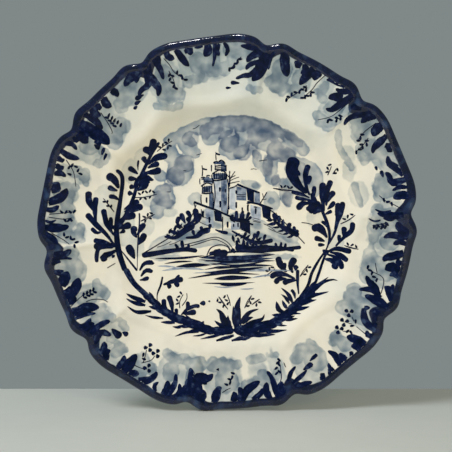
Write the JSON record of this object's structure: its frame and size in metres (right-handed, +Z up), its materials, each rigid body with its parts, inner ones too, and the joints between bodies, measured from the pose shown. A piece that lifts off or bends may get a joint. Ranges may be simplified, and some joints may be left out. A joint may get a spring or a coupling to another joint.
{
  "type": "souvenir plate",
  "caption": "Scalloped glazed earthenware wall plate with pressed petals round a flat well, a painted blue landscape in a leaf wreath, and a pierced foot ring for hanging.",
  "frame": {"origin": "centre of the foot ring's resting face, where the plate bears on the wall", "axes": "+Z up as the plate hangs, +Y towards the wall, the painted face looks along -Y"},
  "size_m": [0.3179, 0.0348, 0.3166],
  "materials": {
    "biscuit": "bare fired clay, matte",
    "painted_glaze": "cream tin glaze painted in cobalt, glossy",
    "blue_glaze": "dark cobalt band, glossy",
    "white_glaze": "plain cream tin glaze, glossy"
  },
  "bodies": {
    "root": {"clay_body": "biscuit", "foot_ring": "biscuit", "front_glaze": "painted_glaze", "edge_glaze": "blue_glaze", "back_glaze": "white_glaze", "base_glaze": "white_glaze"}
  },
  "joints": []
}
